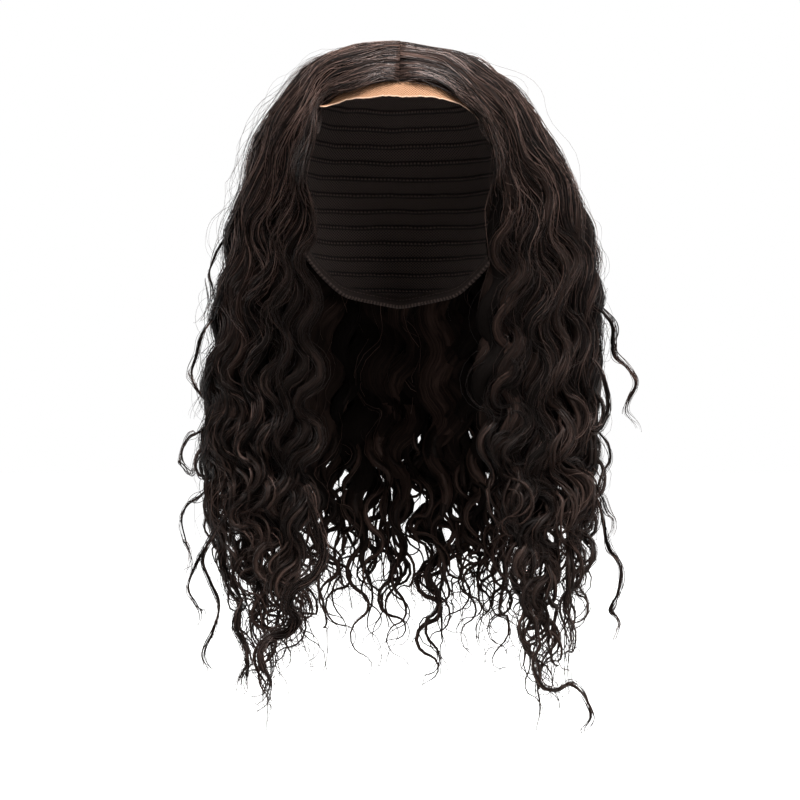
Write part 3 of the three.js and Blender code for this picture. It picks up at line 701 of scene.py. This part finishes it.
def lay_strands(random, guides, lock, loose):
    """Fine strands on the given locks, and loose ones that stray from the outer locks. A strand comes
    out of the body of its lock, keeps near one turn about it for a part of the lock's length and goes
    in again; at the tip it runs out, frays and curls. Small sines along its length make it frizzy."""
    outer = np.flatnonzero(guides["layer"][:, 0] == 0)
    lock = np.concatenate([lock, random.choice(outer, loose)])[:, None]
    count = len(lock)
    stray = (np.arange(count) >= count - loose)[:, None]
    own = lambda low, high: random.uniform(low, high, count)[:, None]
    # where along the lock a strand begins and ends
    begin = np.where(stray, 0.95 * own(0, 1) ** 1.4, own(-0.55, 1.1))
    stray_length = own(0.16, 0.34)
    shorter = 0.46 - 0.16 * smoothstep(begin, 0.3, 0.7)
    length = np.where(stray, stray_length, shorter * own(0.85, 1.15))
    last = own(0.88, 1.0)
    at_tip = begin > last - length
    begin = np.clip(begin, 0, last - length)
    step = np.linspace(0, 1, STRAND_RINGS)
    share = begin + length * step
    read = along_guides(guides, lock, share)
    # how it lies about the lock
    spread = own(-1, 1)
    turn = math.pi / 2 + 1.8 * spread * np.abs(spread) ** 0.15
    turn = np.where(guides["layer"][lock, 0] > 1.5, -turn, turn)
    turn = turn + 0.9 * np.sin(9 * share + own(*ANY_TURN)) * own(0, 1)
    emerge = np.where(begin > 0, smoothstep(step, 0, 0.16), 1)
    return_in = np.where(stray | at_tip, 1, smoothstep(1 - step, 0, 0.16))
    fray = smoothstep(share, 0.7, 1.0) * own(0, 1) ** 2
    fluffy = own(0, 1) ** 2 * 0.9 * np.sin(math.pi * step)
    away = 0.3 * stray * smoothstep(step, 0.1, 0.7) * own(0.3, 3.0)
    out = 0.5 + (0.40 + own(0, 0.25)) * emerge * return_in + fluffy + 2.0 * fray
    out = out + away * (1.2 + np.sin(9 * share + own(*ANY_TURN)))
    lines = around_lock(read, turn, out)
    # the curl at its tip, its frizz and the lift of a loose one
    run = run_along(read["line"], 1)
    tip_curl = own(0, 1) ** 1.5 * smoothstep(share, 0.74, 0.98)
    curl = np.maximum(tip_curl, stray * smoothstep(step, 0, 0.6) * own(0.2, 1))
    curl_turn = 2 * math.pi * run / (TIP_TURN * own(0.8, 1.5)) + own(*ANY_TURN)
    curled = read["flank"] * np.cos(curl_turn)[..., None] + read["crest"] * np.sin(curl_turn)[..., None]
    lines = lines + TIP_CURL * curl[..., None] * curled
    grown = 2.2 - 1.3 * smoothstep(share, 0.1, 0.4)
    ripple = lambda low, high: np.sin(2 * math.pi * run / own(low, high) + own(*ANY_TURN))
    frizz = own(0.0003, 0.0010) * grown * ripple(0.03, 0.06)
    frizz = frizz + own(-0.0022, 0.0022) * ripple(0.07, 0.14)
    lift = stray * own(0.0, 0.009) * np.sin(math.pi * step) ** 2 * smoothstep(read["row"], 0.2, 3.5)
    lines = lines + read["flank"] * frizz[..., None] + read["crest"] * lift[..., None]
    radius = np.where(stray, own(*STRAY_RADII), own(*STRAND_RADII))
    ended = np.where(at_tip, 1, 0.4 * stray)
    radius = radius * (1 - 0.6 * ended * smoothstep(step, 0.5, 1))
    return lines, read["crest"], radius, strand_tone(own, spread, lock, stray, read)


def lay_hairline(random, right, count):
    """Short fine hairs knotted to the lace before the first locks. Each leaves the lace at its root,
    follows the edge of the hair outward and rises into it."""
    own = lambda low, high: random.uniform(low, high, count)[:, None]
    step = np.linspace(0, 1, HAIRLINE_RINGS)
    row = own(0.03, 2.6) + own(0.35, 0.9) * step
    place = own(-0.055, 0.0) + own(0.03, 0.09) * step
    lines, _, outward = hair_frame(np.where(right, 2 - place, place), row)
    low = off_the_head(lines, 0.0010 + 0.0022 * step + own(0, 0.001), sink=True)
    lines = low + (lines - low) * (0.8 * smoothstep(step, 0.3, 1))[:, None]
    return lines, outward, own(*HAIRLINE_RADII) * (1 - 0.5 * step)


def lay_cores(random, guides):
    """The dark bodies of the locks, inside their strands: rings round the guides, with ridges that run
    their whole length, narrowing to a point short of the tip."""
    locks = len(guides["line"])
    turn = 2 * math.pi * np.arange(LOCK_SIDES) / LOCK_SIDES - math.pi / 2
    ridge = 1 + 0.16 * random.uniform(-1, 1, (locks, 1, LOCK_SIDES))
    share = LOCK_SHARES[:, None] * 0.86 + 0 * turn
    read = along_guides(guides, np.arange(locks)[:, None, None], share)
    narrow = 1 - 0.9 * smoothstep(LOCK_SHARES, 0.72, 1)[:, None]
    return around_lock(read, turn + 0 * read["row"], 0.78 * ridge * narrow + 0 * read["row"])


def tube_mesh(rings, low, high):
    """Closed tubes from rings of points, with a map in which each tube has a strip of its own. The
    strips stand side by side in bands between two heights of the map, and a tube's two ends are small
    ellipses below and above its strip."""
    count, long, sides = rings.shape[:3]
    number = np.arange(count * long * sides).reshape(count, long, sides)
    beside = np.roll(number, -1, axis=2)
    quads = np.stack([number[:, :-1], beside[:, :-1], beside[:, 1:], number[:, 1:]], -1)
    fan = np.stack([np.zeros(sides - 2, int), np.arange(1, sides - 1), np.arange(2, sides)], -1)
    ends = np.concatenate([number[:, 0][:, fan[:, ::-1]], number[:, -1][:, fan]])
    tall, wide = (high - low) / MAP_BANDS, MAP_BANDS / (count + MAP_BANDS)
    strip = np.arange(count)[:, None, None]
    side, height = np.arange(sides), np.arange(long - 1)[:, None] / (long - 1)
    left = (strip // MAP_BANDS + 0.1 + 0.8 * side / sides) * wide + 0 * height
    foot = low + (strip % MAP_BANDS + 0.03 + 0.94 * height) * tall + 0 * left
    across, up = 0.8 * wide / sides, 0.94 * tall / (long - 1)
    corners = [(0, 0), (across, 0), (across, up), (0, up)]
    quad_uv = np.stack([np.stack([left + u, foot + v], -1) for u, v in corners], -2)
    end_turn = (2 * math.pi * side / sides)[fan]
    end_left = (strip // MAP_BANDS + 0.5 + 0.3 * np.cos(end_turn)) * wide
    end_foot = lambda share: low + (strip % MAP_BANDS + share + 0.01 * (1 + np.sin(end_turn))) * tall
    first_uv = np.stack([end_left, end_foot(0.005)], -1)[:, :, ::-1]
    last_uv = np.stack([end_left, end_foot(0.975)], -1)
    end_uv = np.concatenate([first_uv, last_uv])
    points, quads, ends = rings.reshape(-1, 3), quads.reshape(-1, 4), ends.reshape(-1, 3)
    return points, quads, ends, quad_uv.reshape(-1, 2), end_uv.reshape(-1, 2)


def hair_material():
    """Nearly black hair with fine streaks along its length: each strand has its own depth of brown,
    and the streaks raise and gloss it. The bodies of the locks are dull."""
    material, tree, surface = new_material(
        "dark wavy hair", Roughness=0.4, Coat_Roughness=0.30,
        Specular_IOR_Level=0.06, Specular_Tint=HAIR_GLINT,
    )
    shade, body = (add_attribute(tree, name).outputs["Fac"] for name in ("shade", "body"))
    grain = add_attribute(tree, "grain").outputs["Vector"]
    streak_noise = add_node(tree, "ShaderNodeTexNoise", Vector=grain, Scale=1.0, Detail=4.0)
    streak_noise.inputs["Roughness"].default_value = 0.65
    streaks = streak_noise.outputs["Fac"]
    lighter = add_math(tree, "ADD", add_range(tree, streaks, 0.42, 0.62), 0.2)
    share = add_math(tree, "MULTIPLY", shade, lighter)
    tree.links.new(add_blend(tree, share, HAIR_DARK, HAIR_BROWN), surface.inputs["Base Color"])
    gloss = add_range(tree, streaks, 0.0, 1.0, 0.54, 0.24)
    dull = add_node(tree, "ShaderNodeMix", _0=body, _2=gloss, _3=0.85)
    tree.links.new(dull.outputs[0], surface.inputs["Roughness"])
    add_relief(tree, surface, streaks, strength=0.8, distance=0.0011)
    glossy = add_math(tree, "ADD", add_math(tree, "MULTIPLY", share, 0.22), 0.08)
    bare = add_math(tree, "SUBTRACT", 1.0, body)
    tree.links.new(add_math(tree, "MULTIPLY", glossy, bare), surface.inputs["Coat Weight"])
    return material


def around_strand(lines, crest, radius):
    """Three points round each point of a strand, flatter along its crest than across it."""
    flank = guide_along(lines, crest)["flank"]
    turn = STRAND_TURNS[:, None]
    ring = np.cos(turn) * flank[:, :, None] + 0.7 * np.sin(turn) * crest[:, :, None]
    return lines[:, :, None] + radius[:, :, None, None] * ring


def make_hair(
    name, seed, span, across, each, ends, loose, starts=(-0.04, 0.0), sunk=0.0, curls=(), hairline=0
):
    """One node's hair as one mesh: the bodies of its locks, fine strands over them and loose wisps.
    The points of each kind of tube carry their shade, how dull a body they are, and a place in the
    streaks that runs on from tube to tube and along each one."""
    random = np.random.default_rng(seed)
    guides = lay_guides(random, span, across, starts, ends, sunk)
    each, split = np.tile(each, across), np.tile(LOCK_SPLIT, across)
    if curls:
        single = lay_curls(curls)
        guides = {part: np.concatenate([values, single[part]]) for part, values in guides.items()}
        each = np.concatenate([each, [int(CURL_STRANDS * half_width) for half_width, _ in curls]])
        split = np.concatenate([split, [CURL_SPLIT] * len(curls)])
    thin = part_locks(random, guides, split)
    lock = np.repeat(np.arange(len(each)), each)
    chosen = (random.uniform(0, 1, len(lock)) * split[lock]).astype(int)
    lock = (np.cumsum(split) - split)[lock] + chosen
    lines, crest, radius, tone = lay_strands(random, thin, lock, loose)
    cores, ringlets = lay_cores(random, guides), lay_ringlets(thin)
    # painted light: the lock bodies are lighter at their roots, along the parting
    root = 0.3 * (1 - smoothstep(LOCK_SHARES, 0, 0.09))[:, None]
    core_shade = 0.22 * random.uniform(0, 1, (len(cores), 1, 1)) ** 2 + root
    tip = 0.3 * smoothstep(np.linspace(0, 1, RINGLET_RINGS), 0.4, 1)[:, None]
    ringlet_shade = random.uniform(0.0, 0.3, (len(ringlets), 1, 1)) + tip
    # each kind's tubes, shade, dullness, heights of its part of the map, and streaks round a tube
    kinds = [
        (around_strand(lines, crest, radius), tone[..., None], 0, (0.0, 0.62), 2),
        (cores, core_shade, 1, (0.63, 0.80), 3.4),
        (ringlets, ringlet_shade, 0.6, (0.81, 0.96), 3),
    ]
    if hairline:
        lines, crest, radius = lay_hairline(random, span[0] > 1, hairline)
        kinds.append((around_strand(lines, crest, radius), np.array(0.15), 0, (0.97, 1.0), 2))
    meshes = [tube_mesh(rings, *heights) for rings, _, _, heights, _ in kinds]
    shift = np.cumsum([0] + [len(mesh[0]) for mesh in meshes])
    joined = lambda kind: np.concatenate([mesh[kind] for mesh in meshes])
    renumbered = lambda kind: np.concatenate([mesh[kind] + first for mesh, first in zip(meshes, shift)])
    piece, _ = new_piece(name, joined(0), renumbered(1), renumbered(2))
    give_uv(piece, "OFBake", np.concatenate([joined(3), joined(4)]))
    shades, bodies, grains = [], [], []
    for rings, shade, body, _, streaks in kinds:
        number, long, side = np.ogrid[:rings.shape[0], :rings.shape[1], :rings.shape[2]]
        shades.append(np.broadcast_to(shade, rings.shape[:3]).ravel())
        bodies.append(np.full(len(shades[-1]), body))
        grain = np.broadcast_arrays(4.3 * number, 9 * long / rings.shape[1], streaks * side)
        grains.append(np.stack(grain, -1).reshape(-1, 3))
    give_values(piece, "shade", np.concatenate(shades))
    give_values(piece, "body", np.concatenate(bodies))
    give_values(piece, "grain", np.concatenate(grains))
    piece.data.materials.append(hair)
    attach(piece, "root")
    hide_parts(name)


hair = hair_material()
make_hair(
    "weft_hair_back", seed=11, span=(0.74, 1.26), across=17, each=(20, 5, 5),
    ends=(8.8, 9.9), loose=40, starts=(-0.04, 0.02),
)

# The hair of the two sides is sewn to the cap in rows of weft too, and falls over the ear tabs.
# Some curls stand clear of it on both sides.
LEFT_CURLS = [
    (1.6, [(-114, 6, -156), (-126, 4, -172), (-134, 2, -185), (-138, 0, -198), (-142, 0, -210),
           (-139, -2, -221), (-134, -2, -230), (-138, -2, -242)]),
    (1.5, [(-124, 4, -234), (-134, 2, -250), (-143, 0, -255), (-148, -2, -263), (-147, -2, -271),
           (-142, -4, -277), (-136, -4, -279)]),
    (1.3, [(-108, 10, -100), (-118, 8, -118), (-126, 6, -130), (-130, 4, -143), (-127, 2, -156),
           (-131, 2, -168), (-136, 0, -178)]),
    (1.3, [(-122, 0, -318), (-133, -2, -332), (-140, -4, -345), (-143, -4, -357), (-138, -6, -368),
           (-134, -6, -379), (-138, -6, -391)]),
    (1.3, [(-124, 4, -284), (-136, 2, -295), (-145, 0, -302), (-148, 0, -312), (-146, -2, -326),
           (-142, -2, -338), (-145, -2, -350)]),
]
RIGHT_CURLS = [
    (2.3, [(104, 4, -128), (120, 2, -150), (132, 0, -164), (143, -2, -178), (144, -4, -191),
           (146, -6, -200), (154, -6, -208), (159, -4, -218), (156, -4, -228), (154, -6, -238),
           (158, -8, -250)]),
    (2.2, [(118, -4, -190), (132, -8, -204), (138, -10, -220), (141, -10, -236), (136, -12, -248),
           (128, -12, -250), (126, -10, -240), (132, -10, -234)]),
    (1.5, [(122, 2, -236), (133, 0, -250), (141, -2, -260), (143, -2, -271), (137, -4, -280),
           (134, -4, -290), (140, -4, -301), (144, -4, -313), (139, -4, -324)]),
    (2.0, [(128, -2, -280), (136, -6, -305), (141, -6, -328), (149, -8, -343), (147, -8, -360),
           (142, -8, -373), (149, -8, -382), (146, -8, -396)]),
]
make_hair(
    "weft_hair_left", seed=12, span=(0.42, 0.74), across=9, each=(44, 12, 6),
    ends=(7.7, 9.7), loose=90, curls=LEFT_CURLS,
)
make_hair(
    "weft_hair_right", seed=13, span=(1.26, 1.58), across=9, each=(42, 11, 6),
    ends=(7.5, 9.7), loose=90, curls=RIGHT_CURLS,
)

# The hair of the closure is knotted to the lace. It is parted in the middle, sweeps back beside
# the parting and hangs down both sides of the front. A thick curl hangs lowest on the left.
CLOSURE_LEFT_CURLS = [
    (4.4, [(-62, -52, -286), (-56, -56, -308), (-50, -58, -329), (-56, -58, -344), (-68, -58, -352),
           (-73, -58, -364), (-68, -58, -374), (-73, -58, -382), (-84, -56, -386), (-92, -54, -395),
           (-91, -54, -406), (-85, -54, -416), (-86, -54, -428), (-97, -54, -431)]),
    (1.5, [(-104, -14, -288), (-116, -22, -306), (-126, -28, -322), (-131, -32, -337),
           (-126, -35, -352), (-120, -37, -366), (-123, -38, -382), (-129, -38, -398),
           (-125, -38, -411), (-128, -38, -421)]),
    (2.4, [(-104, -46, -360), (-108, -48, -378), (-101, -50, -396), (-100, -50, -410),
           (-101, -50, -424)]),
]
CLOSURE_RIGHT_CURLS = [
    (1.8, [(84, -50, -370), (92, -54, -388), (87, -56, -402), (92, -56, -416), (103, -56, -420),
           (112, -54, -417), (121, -53, -424), (125, -52, -436), (118, -52, -446), (121, -52, -454)]),
]
make_hair(
    "closure_hair_left", seed=14, span=(0.0, 0.42), across=11, each=(34, 8, 4),
    ends=(8.1, 10.0), loose=40, sunk=0.9, curls=CLOSURE_LEFT_CURLS, hairline=70,
)
make_hair(
    "closure_hair_right", seed=15, span=(1.58, 2.0), across=11, each=(36, 9, 5),
    ends=(7.8, 10.1), loose=44, sunk=0.9, curls=CLOSURE_RIGHT_CURLS, hairline=70,
)

# A pale floor under the hanging hair, lit evenly, that fades to the white around it. It is a flat
# disc of a few rings.
FLOOR_HEIGHT, FLOOR_SIDES = -0.476, 96
FLOOR_RADII = np.array([0.05, 0.5, 1.5, 6.0])[:, None]
FLOOR_FADE_FROM, FLOOR_FADE_TO = 0.55, 1.6
FLOOR_PALE, FLOOR_WHITE, FLOOR_DIM = (0.82, 0.82, 0.82), (1.0, 1.0, 1.0), (0.1, 0.1, 0.1)
floor_turn = np.linspace(0, 2 * math.pi, FLOOR_SIDES + 1)[:-1]
floor_x, floor_y = FLOOR_RADII * np.cos(floor_turn), FLOOR_RADII * np.sin(floor_turn)
floor_points = np.stack([floor_x, floor_y, 0 * floor_x + FLOOR_HEIGHT], -1)
floor_number = np.arange(floor_x.size).reshape(floor_x.shape)
floor_after = np.roll(floor_number, -1, axis=1)
floor_corners = [floor_number[:-1], floor_number[1:], floor_after[1:], floor_after[:-1]]
floor_quads = np.stack(floor_corners, -1).reshape(-1, 4)
fan_corner = np.arange(1, FLOOR_SIDES - 1)
middle_fan = np.stack([0 * fan_corner, fan_corner, fan_corner + 1], -1)
floor, _ = new_piece("floor", floor_points.reshape(-1, 3), floor_quads, middle_fan)
floor_paint, tree, surface = new_material(
    "pale floor", Roughness=0.9, Base_Color=(0.3, 0.3, 0.3, 1), Emission_Strength=1.0
)
floor_place = tree.nodes.new("ShaderNodeTexCoord")
floor_far = add_node(tree, "ShaderNodeVectorMath", _0=floor_place.outputs["Object"])
floor_far.operation = "LENGTH"
floor_fade = add_range(tree, floor_far.outputs["Value"], FLOOR_FADE_FROM, FLOOR_FADE_TO)
floor_seen = tree.nodes.new("ShaderNodeLightPath").outputs["Is Camera Ray"]
floor_pale = add_blend(tree, floor_fade, FLOOR_PALE, FLOOR_WHITE)
floor_glow = add_blend(tree, floor_seen, FLOOR_DIM, floor_pale)
tree.links.new(floor_glow, surface.inputs["Emission Color"])
floor.data.materials.append(floor_paint)

# Soft white studio light from all round, with a large lamp in front on each side, one overhead,
# and three behind for the edges of the hair. The camera stands level with its middle.
WORLD_GLOW, LAMP_AIM = 0.05, np.array([0, 0, -0.15])
LAMPS = [
    ("left lamp", (-0.9, -1.5, 0.75), 0.6, 12),
    ("right lamp", (1.1, -1.4, 0.25), 0.8, 19),
    ("top lamp", (0.2, -0.4, 1.2), 0.9, 118),
    ("edge lamp", (0.2, 1.1, 0.9), 0.9, 16),
    ("left edge lamp", (-1.2, 0.5, 0.0), 0.9, 26),
    ("right edge lamp", (1.2, 0.5, 0.0), 0.9, 20),
]
world = bpy.data.worlds.new("white studio")
world.use_nodes = True
background = world.node_tree.nodes["Background"]
background.inputs["Color"].default_value = (1, 1, 1, 1)
seen_straight = world.node_tree.nodes.new("ShaderNodeLightPath").outputs["Is Camera Ray"]
glow = add_range(world.node_tree, seen_straight, 0.0, 1.0, WORLD_GLOW, 1.0)
world.node_tree.links.new(glow, background.inputs["Strength"])
bpy.context.scene.world = world
for lamp_name, lamp_place, lamp_size, lamp_power in LAMPS:
    lamp = bpy.data.objects.new(lamp_name, bpy.data.lights.new(lamp_name, "AREA"))
    lamp.data.size, lamp.data.energy = lamp_size, lamp_power
    lamp.location = lamp_place
    aim = LAMP_AIM - np.array(lamp_place)
    flat = math.hypot(aim[0], aim[1])
    lamp.rotation_euler = (math.pi / 2 + math.atan2(aim[2], flat), 0, math.atan2(-aim[0], aim[1]))
    bpy.context.scene.collection.objects.link(lamp)

CAMERA_DISTANCE, CAMERA_HEIGHT, FRAME_WIDTH, SENSOR_WIDTH = 1.5, -0.23, 0.544, 36
camera = bpy.data.objects.new("camera", bpy.data.cameras.new("camera"))
camera.location = (0, -CAMERA_DISTANCE, CAMERA_HEIGHT)
camera.rotation_euler = (math.pi / 2, 0, 0)
camera.data.sensor_fit = "HORIZONTAL"
camera.data.sensor_width = SENSOR_WIDTH
camera.data.lens = SENSOR_WIDTH * CAMERA_DISTANCE / FRAME_WIDTH
bpy.context.scene.collection.objects.link(camera)
bpy.context.scene.camera = camera
bpy.context.scene.view_settings.view_transform = "Standard"
